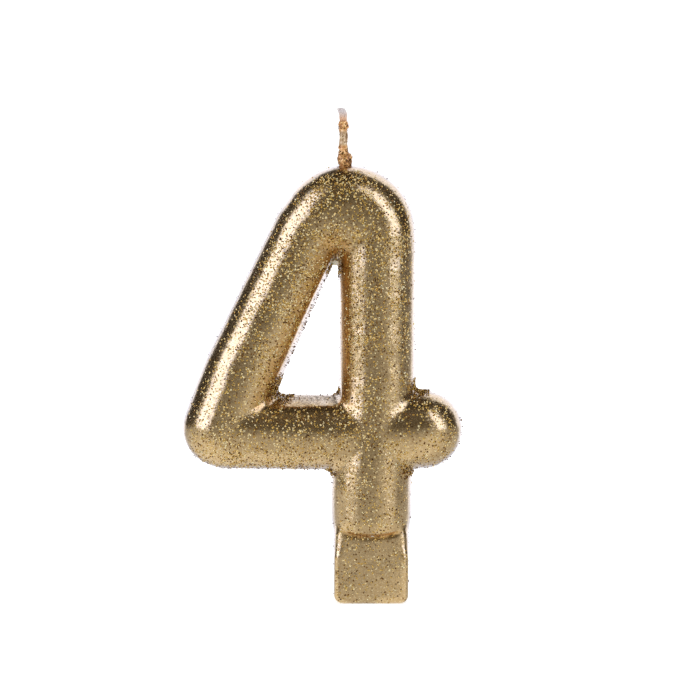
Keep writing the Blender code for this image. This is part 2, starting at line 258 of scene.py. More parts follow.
# Where the softboxes brighten the table: azimuth (low, high, softness), gain.
TABLE_GLOW = (((-112.0, -46.0, 12.0), 0.50), ((14.0, 64.0, 10.0), 0.42))
# Sizes of the studio's parts in metres, and the brightness of its white parts.
DOME_RADIUS = 2.0
TABLE_RADIUS = 1.9
TABLE_HEIGHT = -0.0002
FLOOR_SIZE = 1.6
WORLD_STRENGTH = 1.2
FLOOR_GLOW = 0.45

# Camera, in metres and degrees; the sensor's width in millimetres.
CAMERA_DISTANCE = 0.6
FRAME_WIDTH = 0.1088
CAMERA_ELEVATION = 3.5
CAMERA_TARGET = (-0.005, 0.0, 0.042)
SENSOR_WIDTH = 36.0

random = np.random.default_rng(40417)


def mesh_object(name, mesh, material):
    """Link a mesh as an object with one material."""
    obj = bpy.data.objects.new(name, mesh)
    bpy.context.scene.collection.objects.link(obj)
    mesh.materials.append(material)
    return obj


def baked(obj):
    """Replace an object's mesh with the result of its modifiers."""
    graph = bpy.context.evaluated_depsgraph_get()
    mesh = bpy.data.meshes.new_from_object(obj.evaluated_get(graph))
    obj.modifiers.clear()
    obj.data = mesh
    return obj


def blend(obj, grid, rounds):
    """Fuse overlapping shells into one skin and soften its creases."""
    remesh = obj.modifiers.new("fuse", "REMESH")
    remesh.mode = "VOXEL"
    remesh.voxel_size = grid * MM
    remesh.adaptivity = 0.0
    smooth = obj.modifiers.new("soften", "SMOOTH")
    smooth.factor = 0.5
    smooth.iterations = rounds
    return baked(obj)


def boolean(obj, cutter, operation):
    """Combine a second object into the first, and bake the result."""
    modifier = obj.modifiers.new(operation.lower(), "BOOLEAN")
    modifier.operation = operation
    modifier.solver = "MANIFOLD"
    modifier.object = cutter
    baked(obj)
    bpy.data.objects.remove(cutter, do_unlink=True)


def mesh_of(bm, name):
    """Turn a bmesh into a mesh."""
    mesh = bpy.data.meshes.new(name)
    bm.to_mesh(mesh)
    bm.free()
    return mesh


def mesh_from(bm, name):
    """Turn a bmesh in millimetres into a mesh in metres."""
    bmesh.ops.scale(bm, vec=(MM, MM, MM), verts=bm.verts)
    bmesh.ops.recalc_face_normals(bm, faces=bm.faces)
    return mesh_of(bm, name)


def pour(bm, target):
    """Move all of a bmesh into another one."""
    part = mesh_of(bm, "part")
    target.from_mesh(part)
    bpy.data.meshes.remove(part)


def hull(target, balls):
    """Add the hull of some balls, given as (centre, radius): one rounded stroke."""
    bm = bmesh.new()
    for (x, z), radius in balls:
        made = bmesh.ops.create_uvsphere(bm, u_segments=64, v_segments=32, radius=radius)
        bmesh.ops.translate(bm, verts=made["verts"], vec=(x, 0.0, z))
    wrapped = bmesh.ops.convex_hull(bm, input=bm.verts)
    spare = [item for item in wrapped["geom_interior"] if isinstance(item, bmesh.types.BMVert)]
    bmesh.ops.delete(bm, geom=spare, context="VERTS")
    pour(bm, target)


def foot_profile(steps):
    """Half outline of the upright's end: a shallow dome with a rounded rim."""
    (_, top), radius = UPRIGHT_FOOT
    dome = FOOT_DOME_RADIUS
    edge = FOOT_EDGE_RADIUS
    rim_angle = math.asin((radius - edge) / (dome - edge))
    dome_top = FOOT_BOTTOM + dome
    points = []
    for step in range(steps + 1):
        angle = rim_angle * step / steps
        points.append((dome * math.sin(angle), dome_top - dome * math.cos(angle)))
    centre_x = radius - edge
    centre_z = dome_top - (dome - edge) * math.cos(rim_angle)
    for step in range(1, steps + 1):
        angle = rim_angle + (math.pi / 2 - rim_angle) * step / steps
        points.append((centre_x + edge * math.sin(angle), centre_z - edge * math.cos(angle)))
    points.append((radius, top))
    points.append((0.0, top))
    return points


def foot(target):
    """Add the round foot of the upright, turned from its half outline."""
    bm = bmesh.new()
    verts = [bm.verts.new((x, 0.0, z)) for x, z in foot_profile(FOOT_STEPS)]
    edges = [bm.edges.new(pair) for pair in zip(verts, verts[1:])]
    bmesh.ops.spin(
        bm, geom=verts + edges, cent=(0, 0, 0), axis=(0, 0, 1), angle=math.tau, steps=96,
        use_merge=True, use_duplicate=False)
    bmesh.ops.remove_doubles(bm, verts=bm.verts, dist=1e-4)
    bmesh.ops.translate(bm, verts=bm.verts, vec=(UPRIGHT_FOOT[0][0], 0.0, 0.0))
    bmesh.ops.recalc_face_normals(bm, faces=bm.faces)
    pour(bm, target)


def arc_row(start, end):
    """Balls along the rounded top, between two angles."""
    row = []
    for step in range(ARC_STEPS + 1):
        angle = math.radians(start + (end - start) * step / ARC_STEPS)
        x = ARC_CENTRE[0] + ARC_RADIUS * math.cos(angle)
        z = ARC_CENTRE[1] + ARC_RADIUS * math.sin(angle)
        row.append(((x, z), UPRIGHT_RADIUS))
    return row


def numeral(material):
    """The round strokes of the figure, blended where they meet."""
    bm = bmesh.new()
    arc = arc_row(0.0, ARC_END_DEG)
    for pair in zip(arc, arc[1:]):
        hull(bm, pair)
    hull(bm, arc_row(CROWN_FROM_DEG, CROWN_TO_DEG))
    for pair in (
            (arc[-1], DIAGONAL_TOP), (DIAGONAL_TOP, DIAGONAL_HIP), (DIAGONAL_HIP, DIAGONAL_END),
            (BAR_START, BAR_ROOT), (BAR_ROOT, BAR_END),
            (arc[0], UPRIGHT_KNEE), (UPRIGHT_KNEE, UPRIGHT_FOOT)):
        hull(bm, pair)
    foot(bm)
    bmesh.ops.scale(bm, vec=(1.0, DEPTH_RATIO, 1.0), verts=bm.verts)
    obj = mesh_object("gold_coat_skin", mesh_from(bm, "gold_coat_skin"), material)
    return blend(obj, FINE_GRID, STROKE_SMOOTHING)


def hole_draft(material):
    """Cutter for the sloping walls of the open triangle: narrow at mid-depth, wide in front."""
    bm = bmesh.new()
    for side in (-1.0, 1.0):
        half = bmesh.new()
        for (x, z), radius, (shift_x, shift_z) in HOLE_CORNERS:
            for depth, spread in ((-HOLE_OVERLAP, 0.0), (HOLE_DRAFT_DEPTH, 1.0)):
                for step in range(HOLE_CORNER_STEPS):
                    angle = math.tau * step / HOLE_CORNER_STEPS
                    half.verts.new((x + shift_x * spread + radius * math.cos(angle), depth * side,
                                    z + shift_z * spread + radius * math.sin(angle)))
        bmesh.ops.convex_hull(half, input=half.verts)
        pour(half, bm)
    obj = mesh_object("hole_blank", mesh_from(bm, "hole_blank"), material)
    return blend(obj, HOLE_GRID, 0)


def box(width, depth, bottom, top):
    """Bmesh box centred on the Z axis."""
    bm = bmesh.new()
    bmesh.ops.create_cube(bm, size=1.0)
    bmesh.ops.scale(bm, vec=(width, depth, top - bottom), verts=bm.verts)
    bmesh.ops.translate(bm, verts=bm.verts, vec=(0.0, 0.0, (top + bottom) / 2))
    return bm


def runs_along(edge, axis):
    """True for an edge parallel to one axis."""
    span = edge.verts[1].co - edge.verts[0].co
    return abs(span[axis]) > 0.999 * span.length


def round_edges(bm, edges, radius, segments):
    """Round some edges to a radius."""
    bmesh.ops.bevel(bm, geom=edges, offset=radius, offset_type="OFFSET", segments=segments,
                    profile=0.5, affect="EDGES")


def stem_slab(material):
    """Flat stem with rounded lower corners and softened edges."""
    bm = box(STEM_WIDTH, STEM_DEPTH, 0.0, STEM_TOP)
    corners = [edge for edge in bm.edges if runs_along(edge, 1) and edge.verts[0].co.z < 0.01]
    round_edges(bm, corners, STEM_CORNER_RADIUS, 8)
    rims = [edge for edge in bm.edges
            if edge.calc_face_angle(0.0) > math.radians(60) or (
                not runs_along(edge, 1) and edge.calc_face_angle(0.0) > math.radians(40))]
    round_edges(bm, rims, STEM_EDGE_RADIUS, 6)
    return mesh_object("stem_blank", mesh_from(bm, "stem_blank"), material)


def coords_of(mesh):
    """Vertex places and normals as arrays, in metres."""
    count = len(mesh.vertices)
    places = np.empty(count * 3)
    mesh.vertices.foreach_get("co", places)
    normals = np.empty(count * 3)
    mesh.vertices.foreach_get("normal", normals)
    return places.reshape(-1, 3), normals.reshape(-1, 3)


def move_to(obj, places):
    """Put the vertices of an object at new places."""
    obj.data.vertices.foreach_set("co", places.ravel())
    obj.data.update()


def finish_skin(obj, material):
    """Give a baked skin its one material and smooth shading."""
    obj.data.materials.clear()
    obj.data.materials.append(material)
    obj.data.shade_smooth()


def from_crease(x, z):
    """Place across the crease, from -1 to 1, and height above its line."""
    across = x / CREASE_HALF_WIDTH
    return across, z - CREASE_MIDDLE - CREASE_RISE * across * across


def skin_relief(place, normal):
    """Height of the coat's unevenness at a point."""
    wave = noise.noise(Vector(place) / WAVE_SPAN)
    peel = noise.noise(Vector(place) / PEEL_SPAN + Vector(PEEL_OFFSET))
    side = max(0.0, 1.0 - 1.6 * abs(normal[1])) * (1.0 if place[2] > 1.0 else 0.0)
    seam = math.exp(-(place[1] / SEAM_WIDTH) ** 2) * side
    broken = 0.7 + 0.5 * noise.noise(Vector((place[0], 11.0, place[2])) / SEAM_SPAN)
    across, sag = from_crease(place[0], place[2])
    fade = min(1.0, max(0.0, 4.0 * (1.0 - abs(across)))) * min(1.0, 2.0 * abs(normal[1]))
    crease = math.exp(-(sag / CREASE_SPREAD) ** 2) * fade
    return (WAVE_HEIGHT * wave + PEEL_HEIGHT * peel + SEAM_HEIGHT * seam * broken
            - CREASE_DEPTH * crease)


def soften_shoulders(skin):
    """Run the corners of the stem smoothly into the round foot above them."""
    places, _ = coords_of(skin.data)
    places = places / MM
    high = np.clip(1.0 - np.abs(places[:, 2] - SHOULDER_HEIGHT) / SHOULDER_REACH, 0.0, 1.0)
    wide = np.clip((np.abs(places[:, 0]) - SHOULDER_START) / SHOULDER_FADE, 0.0, 1.0)
    weights = np.clip(2.0 * high * wide, 0.0, 1.0)
    group = skin.vertex_groups.new(name="shoulders")
    for index in np.nonzero(weights > 0.01)[0]:
        group.add([int(index)], float(weights[index]), "REPLACE")
    smooth = skin.modifiers.new("shoulders", "SMOOTH")
    smooth.factor = 0.5
    smooth.iterations = SHOULDER_SMOOTHING
    smooth.vertex_group = "shoulders"
    baked(skin)
    skin.vertex_groups.clear()


def gap_to_line(x, z, start, end):
    """Distance of points from a line between two places in the XZ plane."""
    along = (end[0] - start[0], end[1] - start[1])
    share = (x - start[0]) * along[0] + (z - start[1]) * along[1]
    share = np.clip(share / (along[0] ** 2 + along[1] ** 2), 0.0, 1.0)
    return np.hypot(x - start[0] - share * along[0], z - start[1] - share * along[1])


def mark_painted_shade(mesh):
    """Store where the gold gets painted shade: round the triangle, in the crease, under the wick.
    """
    places, normals = coords_of(mesh)
    x, depth, z = (places / MM).T
    depth = np.abs(depth)
    share = depth / HOLE_DRAFT_DEPTH
    corners = [(corner[0] + share * out[0], corner[1] + share * out[1])
               for corner, _, out in HOLE_CORNERS]
    gap = np.minimum.reduce([
        gap_to_line(x, z, corners[side], corners[(side + 1) % 3]) for side in range(3)])
    rim = np.clip((PAINTED_SHADE_REACH - gap) / PAINTED_SHADE_FADE, 0.0, 1.0)
    rim = rim * np.clip((depth - PAINTED_SHADE_DEPTH) / PAINTED_SHADE_FADE, 0.0, 1.0)
    rim = rim * (1.0 - PAINTED_SHADE_SHELF * np.clip(normals[:, 2], 0.0, 1.0))
    across, sag = from_crease(x, z)
    ends = np.clip(2.5 * (1.0 - np.abs(across)), 0.0, 1.0) * (depth > 2.0)
    crease = np.exp(-(sag / CREASE_SHADE_SPREAD) ** 2) * ends
    wick = np.hypot(x - WICK_FOOT[0], z - WICK_FOOT[1]) / WICK_SHADE[1]
    wick = np.clip(WICK_SHADE[0] - wick, 0.0, 1.0)
    mesh.attributes.new("painted_shade", "FLOAT", "POINT")
    painted_shade = np.clip(rim + CREASE_SHADE_GAIN * crease + wick, 0.0, 1.4)
    mesh.attributes["painted_shade"].data.foreach_set("value", painted_shade.astype(np.float32))


def coat_skin(material):
    """The gold coat: fine skin with its relief, open under the stem."""
    skin = numeral(material)
    boolean(skin, hole_draft(material), "DIFFERENCE")
    boolean(skin, stem_slab(material), "UNION")
    blend(skin, FINE_GRID, SKIN_SMOOTHING)
    soften_shoulders(skin)
    places, normals = coords_of(skin.data)
    heights = np.array([skin_relief(p * PER_METRE, n) for p, n in zip(places, normals)])
    heights *= np.clip(places[:, 2] / (RELIEF_FULL * MM), 0.0, 1.0)
    moved = places + normals * (heights * MM)[:, None]
    moved[moved[:, 2] < END_FLAT * MM, 2] = 0.0
    move_to(skin, moved)
    opening = box(STEM_OPENING[0], STEM_OPENING[1], -1.0, OPENING_DEPTH)
    uprights = [edge for edge in opening.edges if runs_along(edge, 2)]
    round_edges(opening, uprights, OPENING_CORNER_RADIUS, 6)
    cutter = mesh_object("opening_blank", mesh_from(opening, "opening_blank"), material)
    boolean(skin, cutter, "DIFFERENCE")
    finish_skin(skin, material)
    skin.data.set_sharp_from_angle(angle=math.radians(SHARP_ANGLE_DEG))
    # Painted shade in the hollows, kept on the skin for the gold material.
    mark_painted_shade(skin.data)
    return skin


# ---------------- materials


def new_material(name):
    """Empty node material with a Principled shader and an output."""
    material = bpy.data.materials.new(name)
    material.use_nodes = True
    tree = material.node_tree
    return material, tree, tree.nodes["Principled BSDF"]


def feed(tree, socket, value):
    """Give an input a node output to read, or a value of its own."""
    if isinstance(value, bpy.types.NodeSocket):
        tree.links.new(value, socket)
    else:
        socket.default_value = value


def node(tree, kind, *values, **settings):
    """Add a node. Plain values feed its inputs in turn; settings name properties or inputs."""
    made = tree.nodes.new(kind)
    for key, value in settings.items():
        if hasattr(made, key):
            setattr(made, key, value)
        else:
            feed(tree, made.inputs[key.replace("_", " ")], value)
    for socket, value in zip(made.inputs, values):
        feed(tree, socket, value)
    return made


def set_inputs(tree, shader, **values):
    """Feed the named inputs of a shader."""
    for key, value in values.items():
        feed(tree, shader.inputs[key.replace("_", " ")], value)


def maths(tree, operation, *values, **settings):
    """Output of a Math node for some node outputs or numbers."""
    return node(tree, "ShaderNodeMath", *values, operation=operation, **settings).outputs[0]


def vectors(tree, operation, *values):
    """Output of a Vector Math node for some node outputs or vectors."""
    return node(tree, "ShaderNodeVectorMath", *values, operation=operation).outputs["Vector"]


def scaled(tree, vector, factor):
    """A vector or colour times a number."""
    made = node(tree, "ShaderNodeVectorMath", vector, operation="SCALE", Scale=factor)
    return made.outputs["Vector"]


def mix(tree, factor, first, second, blend="MIX"):
    """Mix of two colours."""
    made = node(tree, "ShaderNodeMix", data_type="RGBA", blend_type=blend, Factor=factor,
                A=first, B=second)
    return made.outputs["Result"]


def split(tree, place):
    """X, Y and Z of a place."""
    return node(tree, "ShaderNodeSeparateXYZ", place).outputs


def object_place(tree):
    """Place on the object, in metres."""
    return node(tree, "ShaderNodeTexCoord").outputs["Object"]


def noise_at(tree, place, scale, detail):
    """Value of a noise texture at a place."""
    made = node(tree, "ShaderNodeTexNoise", Vector=place, Scale=scale, Detail=detail)
    return made.outputs["Fac"]


def cells_at(tree, place, scale):
    """Random colour of the cell that a place is in, whole and as red, green and blue."""
    cells = node(tree, "ShaderNodeTexVoronoi", voronoi_dimensions="3D", feature="F1",
                 Vector=place, Scale=scale)
    colour = cells.outputs["Color"]
    return colour, node(tree, "ShaderNodeSeparateColor", colour).outputs


def bump_normal(tree, height, strength, distance):
    """Normal of a surface with some height on it."""
    made = node(tree, "ShaderNodeBump", Strength=strength, Distance=distance, Height=height)
    return made.outputs["Normal"]


def ramp(tree, source, stops):
    """Colour that follows a source through the given (position, colour) stops."""
    made = node(tree, "ShaderNodeValToRGB", source)
    elements = made.color_ramp.elements
    elements.remove(elements[-1])
    for index, (position, colour) in enumerate(stops):
        element = elements.new(position) if index else elements[0]
        element.position = position
        element.color = colour
    return made.outputs["Color"]


def rescale(tree, source, span, result):
    """Value that runs from one result to the other while the source crosses a span."""
    made = node(tree, "ShaderNodeMapRange", Value=source, From_Min=span[0], From_Max=span[1],
                To_Min=result[0], To_Max=result[1])
    return made.outputs["Result"]


def smooth_step(tree, source, low, high):
    """Value rising smoothly from 0 to 1 between two values of the source."""
    made = node(tree, "ShaderNodeMapRange", interpolation_type="SMOOTHSTEP", Value=source,
                From_Min=low, From_Max=high)
    return made.outputs["Result"]


def product(tree, first, *others):
    """Product of several node outputs."""
    for other in others:
        first = maths(tree, "MULTIPLY", first, other)
    return first


def window(tree, source, low, high, soft):
    """Value that is 1 between two values of the source and fades to 0 outside them."""
    return product(tree, smooth_step(tree, source, low - soft, low + soft),
                   smooth_step(tree, source, high + soft, high - soft))


def coat_bump(tree, place):
    """Normal with mould lines beside the parting seam, and with pebbles under the crossbar
    and on the walls of the open triangle."""
    parts = split(tree, place)
    depth = maths(tree, "ABSOLUTE", parts["Y"])
    broken = smooth_step(tree, noise_at(tree, place, 150.0, 4.0), 0.40, 0.66)
    lines = None
    for line in MOULD_LINES:
        mask = window(tree, depth, line - MOULD_LINE_HALF_WIDTH, line + MOULD_LINE_HALF_WIDTH,
                      MOULD_LINE_SOFTNESS)
        mask = product(tree, mask, broken)
        lines = mask if lines is None else maths(tree, "ADD", lines, mask)
    lines = product(tree, lines, rescale(tree, parts["Z"], CROWN_HEIGHTS, CROWN_GAIN))
    pebbles = noise_at(tree, place, 1900.0, 2.0)
    under = product(tree, pebbles, window(tree, parts["Z"], *UNDER_BAR_Z),
                    smooth_step(tree, parts["X"], *UNDER_BAR_X))
    walls = product(tree, pebbles, window(tree, parts["X"], *HOLE_WALLS_X),
                    window(tree, parts["Z"], *HOLE_WALLS_Z),
                    smooth_step(tree, depth, *HOLE_WALLS_DEPTH))
    height = maths(tree, "MULTIPLY_ADD", maths(tree, "ADD", under, walls), PEBBLE_SHARE, lines)
    return bump_normal(tree, height, 0.9, 0.00006)


def lacquer_colour(tree, place, shade, drift):
    """Gold pigment, some flakes paler and some browner, with faint drifts, and with painted shade
    in the hollows.
    """
    tone = ramp(tree, shade, (
        (0.0, (0.42, 0.25, 0.08, 1.0)),
        (0.12, (0.58, 0.39, 0.165, 1.0)),
        (0.50, (0.62, 0.425, 0.188, 1.0)),
        (0.85, (0.65, 0.455, 0.21, 1.0)),
        (1.0, (0.82, 0.64, 0.36, 1.0)),
    ))
    tone = scaled(tree, tone, rescale(tree, drift, (0.3, 0.7), (0.93, 1.07)))
    patchy = noise_at(tree, place, 620.0, 3.0)
    # Along the parting plane the spray lies thin and lets the pale wax through.
    depth = maths(tree, "ABSOLUTE", split(tree, place)["Y"])
    ragged = maths(tree, "MULTIPLY_ADD", patchy, THIN_RAGGED, depth)
    thin = smooth_step(tree, ragged, THIN_DEPTHS[1], THIN_DEPTHS[0])
    tone = mix(tree, maths(tree, "MULTIPLY", thin, THIN_SHARE), tone, THIN_COLOUR)
    # Painted shade and gold-on-gold reflection: the hollows are made darker and more orange.
    painted_shade_node = node(tree, "ShaderNodeAttribute", attribute_name="painted_shade")
    share = rescale(tree, patchy, (0.3, 0.6), (0.6, 1.0))
    thick = maths(tree, "MULTIPLY", painted_shade_node.outputs["Fac"], share, use_clamp=True)
    return mix(tree, thick, tone, PAINTED_SHADE_COLOUR, "MULTIPLY")


def gold_coat_material():
    """Pale gold metallic lacquer with fine glitter lying in it."""
    material, tree, shader = new_material("gold_coat_glitter_lacquer")
    place = object_place(tree)
    colour, parts = cells_at(tree, place, 5600.0)
    # How much a flake leans: most lie nearly flat, a few stand well up.
    lean = rescale(tree, parts["Red"], (0.35, 1.0), (0.03, 0.20))
    leaned = scaled(tree, vectors(tree, "SUBTRACT", colour, (0.5, 0.5, 0.5)), lean)
    facing = vectors(tree, "NORMALIZE", vectors(tree, "ADD", coat_bump(tree, place), leaned))
    drift = noise_at(tree, place, 160.0, 3.0)
    set_inputs(
        tree, shader,
        Base_Color=lacquer_colour(tree, place, parts["Green"], drift),
        Roughness=rescale(tree, drift, (0.0, 1.0), (0.18, 0.26)),
        Metallic=1.0, Normal=facing, Coat_Weight=1.0, Coat_Roughness=0.09, Coat_IOR=1.72)
    return material


def flake_material(name, dark, light, roughness, metallic):
    """One tone of glitter: each flake has its own shade of it."""
    material, tree, shader = new_material(name)
    _, parts = cells_at(tree, object_place(tree), 2500.0)
    set_inputs(
        tree, shader,
        Base_Color=ramp(tree, parts["Blue"], ((0.0, dark), (1.0, light))),
        Roughness=rescale(
            tree, parts["Green"], (0.0, 1.0), (roughness * 0.7, roughness * 1.3)),
        Metallic=metallic)
    return material


def ivory_wax_material():
    """Bare candle wax: mottled, slightly translucent, with a soft uneven surface."""
    material, tree, shader = new_material("ivory_wax")
    place = object_place(tree)
    tone = ramp(tree, noise_at(tree, place, 500.0, 4.0), (
        (0.3, (0.70, 0.62, 0.46, 1.0)), (0.7, (0.80, 0.73, 0.58, 1.0))))
    fine = noise_at(tree, place, 1500.0, 3.0)
    set_inputs(
        tree, shader, Base_Color=tone,
        Roughness=rescale(tree, fine, (0.0, 1.0), (0.336, 0.504)),
        Normal=bump_normal(tree, fine, 0.25, 0.0002),
        Subsurface_Weight=0.4, Subsurface_Radius=(1.0, 0.8, 0.5), Subsurface_Scale=0.001)
    return material


def cotton_material():
    """Cotton fibres: dull white at the tip, stained by the wax further down."""
    material, tree, shader = new_material("bare_cotton")
    place = object_place(tree)
    rise = rescale(tree, split(tree, place)["Z"], TIP_STAIN, (0.0, 1.0))
    tone = ramp(tree, rise, (
        (0.0, (0.42, 0.20, 0.09, 1.0)), (0.35, (0.60, 0.38, 0.25, 1.0)),
        (1.0, (0.66, 0.60, 0.60, 1.0))))
    mottle = noise_at(tree, place, 1400.0, 3.0)
    set_inputs(
        tree, shader,
        Base_Color=scaled(tree, tone, rescale(tree, mottle, (0.0, 1.0), (0.75, 1.25))),
        Roughness=rescale(tree, mottle, (0.0, 1.0), (0.75, 0.95)))
    return material


def wick_film_material():
    """Tinted wax on the wick: coppery where it is thick, pale and waxy between the lumps."""
    material, tree, shader = new_material("wick_wax_tinted")
    place = object_place(tree)
    mottle = noise_at(tree, place, 1700.0, 3.0)
    thick = ramp(tree, mottle, (
        (0.30, (0.16, 0.060, 0.015, 1.0)), (0.45, (0.48, 0.22, 0.065, 1.0)),
        (0.58, (0.74, 0.41, 0.15, 1.0)), (0.72, (0.92, 0.70, 0.40, 1.0))))
    thin = ramp(tree, mottle, (
        (0.32, (0.26, 0.145, 0.06, 1.0)), (0.50, (0.50, 0.345, 0.19, 1.0)),
        (0.70, (0.78, 0.63, 0.42, 1.0))))
    middle = window(tree, split(tree, place)["Z"], *FILM_THIN)
    set_inputs(
        tree, shader,
        Base_Color=mix(tree, middle, thick, thin),
        Roughness=rescale(tree, mottle, (0.0, 1.0), (0.22, 0.42)),
        Normal=bump_normal(tree, mottle, 0.5, 0.00012),
        Metallic=0.30, Coat_Weight=0.4, Coat_Roughness=0.15)
    return material


# ---------------- glitter


def surface_samples(mesh, count, weight):
    """Random points on a mesh, as places and normals; weight thins them by place."""
    mesh.calc_loop_triangles()
    total = len(mesh.loop_triangles)
    corners = np.empty(total * 3, dtype=np.int64)
    mesh.loop_triangles.foreach_get("vertices", corners)
    corners = corners.reshape(-1, 3)
    places, normals = coords_of(mesh)
    a, b, c = (places[corners[:, side]] for side in range(3))
    area = np.linalg.norm(np.cross(b - a, c - a), axis=1) / 2
    chance = area * weight((a + b + c) / 3.0, normals[corners[:, 0]])
    picked = random.choice(total, size=count, p=chance / chance.sum())
    u = random.random(count)
    v = random.random(count)
    fold = u + v > 1.0
    u[fold] = 1.0 - u[fold]
    v[fold] = 1.0 - v[fold]
    points, facing = (
        sum(rows[corners[picked, side]] * share[:, None]
            for side, share in enumerate((1.0 - u - v, u, v)))
        for rows in (places, normals))
    return points, unit_rows(facing)


def unit_rows(rows):
    """Scale each row to length one."""
    return rows / np.linalg.norm(rows, axis=1)[:, None]


def flakes(name, points, facing, lean_deg, sizes, lift, material):
    """Six-sided glitter flakes on the given points, each leaning its own way."""
    count = len(points)
    helper = unit_rows(random.normal(size=(count, 3)))
    first = unit_rows(np.cross(facing, helper))
    second = np.cross(facing, first)
    lean = np.radians(np.abs(lean_deg))[:, None]
    up = facing * np.cos(lean) + first * np.sin(lean)
    across = first * np.cos(lean) - facing * np.sin(lean)
    turn = random.random(count) * math.tau
    radius = sizes * MM / 2
    centre = points + facing * (lift * MM)[:, None]
    sides = 6
    rows = np.empty((count, sides + 1, 3))
    for side in range(sides):
        angle = turn + math.tau * side / sides
        offset = across * np.cos(angle)[:, None] + second * np.sin(angle)[:, None]
        rows[:, side] = centre + offset * radius[:, None]
    rows[:, sides] = centre - up * (0.35 * radius)[:, None]
    base = (np.arange(count) * (sides + 1))[:, None]
    top = base + np.arange(sides)[None, :]
    follow = base + (np.arange(sides)[None, :] + 1) % sides
    apex = np.repeat(base + sides, sides, axis=1)
    walls = np.stack((follow, top, apex), axis=2).reshape(-1, 3)
    loops = np.concatenate((top.ravel(), walls.ravel()))
    starts = np.concatenate((np.arange(count) * sides,
                             count * sides + np.arange(len(walls)) * 3))
    mesh = bpy.data.meshes.new(name)
    mesh.vertices.add(count * (sides + 1))
    mesh.vertices.foreach_set("co", rows.ravel())
    mesh.loops.add(len(loops))
    mesh.loops.foreach_set("vertex_index", loops.astype(np.int32))
    mesh.polygons.add(len(starts))
    mesh.polygons.foreach_set("loop_start", starts.astype(np.int32))
    mesh.update(calc_edges=True)
    mesh.validate()
    obj = mesh_object(name, mesh, material)
    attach(obj, "root")
    return obj


def clumped_glitter(coat, tones):
    """Loose heaps of flakes in the inner corners, where they catch."""
    def weight(places, normals):
        total = np.zeros(len(places))
        for x, z, reach, share in CLUMPS:
            total += share * near(places, x, z, reach) ** 0.7 / reach ** 2
        return total * np.clip(1.15 - np.abs(normals[:, 1]), 0.05, 1.0)

    for name, count, tone in CLUMP_GLITTER:
        points, facing = surface_samples(coat.data, count, weight)
        sizes = np.clip(random.normal(0.24, 0.05, count), 0.15, 0.38)
        lean_deg = random.uniform(5.0, 80.0, count)
        lift = random.uniform(0.0, 0.18, count) * random.random(count) + 0.02
        flakes(name, points, facing, lean_deg, sizes, lift, tones[tone])


def seam_glitter(coat, material):
    """Single flakes that stand up along the mid-depth edges, mostly round the open triangle."""
    def weight(places, normals):
        x = places[:, 0] / MM
        z = places[:, 2] / MM
        edge = np.clip(1.0 - np.abs(places[:, 1] / MM) / 2.2, 0.0, 1.0)
        inside = (x > -17.5) & (x < -4.2) & (z > 31.0) & (z < 56.5) & (normals[:, 0] > -0.6)
        under = (normals[:, 2] < -0.4) & (z < 24.0) & (z > 18.5)
        ball = (x > 7.0) & (z < 30.0)
        sill = inside & (normals[:, 2] > 0.6)
        return edge * (0.06 + 1.3 * inside - 0.9 * sill + 0.5 * under + 0.35 * ball)

    points, facing = surface_samples(coat.data, SEAM_COUNT, weight)
    sizes = np.clip(random.normal(0.21, 0.05, SEAM_COUNT), 0.12, 0.36)
    lean_deg = random.uniform(20.0, 85.0, SEAM_COUNT)
    lift = random.uniform(0.02, 0.11, SEAM_COUNT)
    flakes("glitter_seam_flakes", points, facing, lean_deg, sizes, lift, material)


def near(places, x, z, reach):
    """Closeness in the XZ plane to a point: 1 there, 0 beyond reach."""
    gap = np.hypot(places[:, 0] / MM - x, places[:, 2] / MM - z)
    return np.clip(1.0 - gap / reach, 0.0, 1.0)


def glitter_weight(places, normals):
    """How thickly the glitter lies: dense on the upper half and under the crossbar, thin on
    the stem, nearly none on the sides."""
    height = places[:, 2] / MM
    left = np.clip((-places[:, 0] / MM - 14.0) / 12.0, 0.0, 1.0)
    dense = np.interp(height, *zip(*GLITTER_BY_HEIGHT))
    patch = np.array([0.75 + 0.9 * noise.noise(Vector(p) / GLITTER_PATCH) for p in places])
    under = np.clip(-normals[:, 2], 0.0, 1.0) * (height > 20.0)
    front = np.clip((np.abs(normals[:, 1]) - 0.47 + 0.30 * under) / 0.30, 0.0, 1.0)
    dense = dense * (1.0 - 0.45 * left) + 1.1 * under * (places[:, 0] < 1.0 * MM)
    return dense * np.clip(patch, 0.45, 1.6) * (0.035 + 0.965 * front)


def spread_glitter(coat, tones):
    """The glitter all over the coat, in its three tones."""
    for name, count, lean, across, tone in GLITTER:
        points, facing = surface_samples(coat.data, count, glitter_weight)
        sizes = np.clip(random.normal(across, 0.2 * across, count), 0.14, 0.46)
        lean_deg = np.clip(np.abs(random.normal(0.0, lean, count)), 0.0, 38.0)
        lift = random.uniform(0.006, 0.026, count) + 0.2 * sizes * np.sin(np.radians(lean_deg))
        flakes(name, points, facing, lean_deg, sizes, lift, tones[tone])


# ---------------- wick


def bezier_row(knots, steps):
    """Sample a chain of cubic curves through (point, tangent) knots, in the XZ plane."""
    row = []
    for (start, start_tangent), (end, end_tangent) in zip(knots, knots[1:]):
        for step in range(steps):
            t = step / steps
            a = 2 * t ** 3 - 3 * t ** 2 + 1
            b = t ** 3 - 2 * t ** 2 + t
            c = 3 * t ** 2 - 2 * t ** 3
            d = t ** 3 - t ** 2
            x, z = (a * start[k] + b * start_tangent[k] + c * end[k] + d * end_tangent[k]
                    for k in (0, 1))
            row.append(Vector((x, 0.0, z)))
    row.append(Vector((knots[-1][0][0], 0.0, knots[-1][0][1])))
    return row


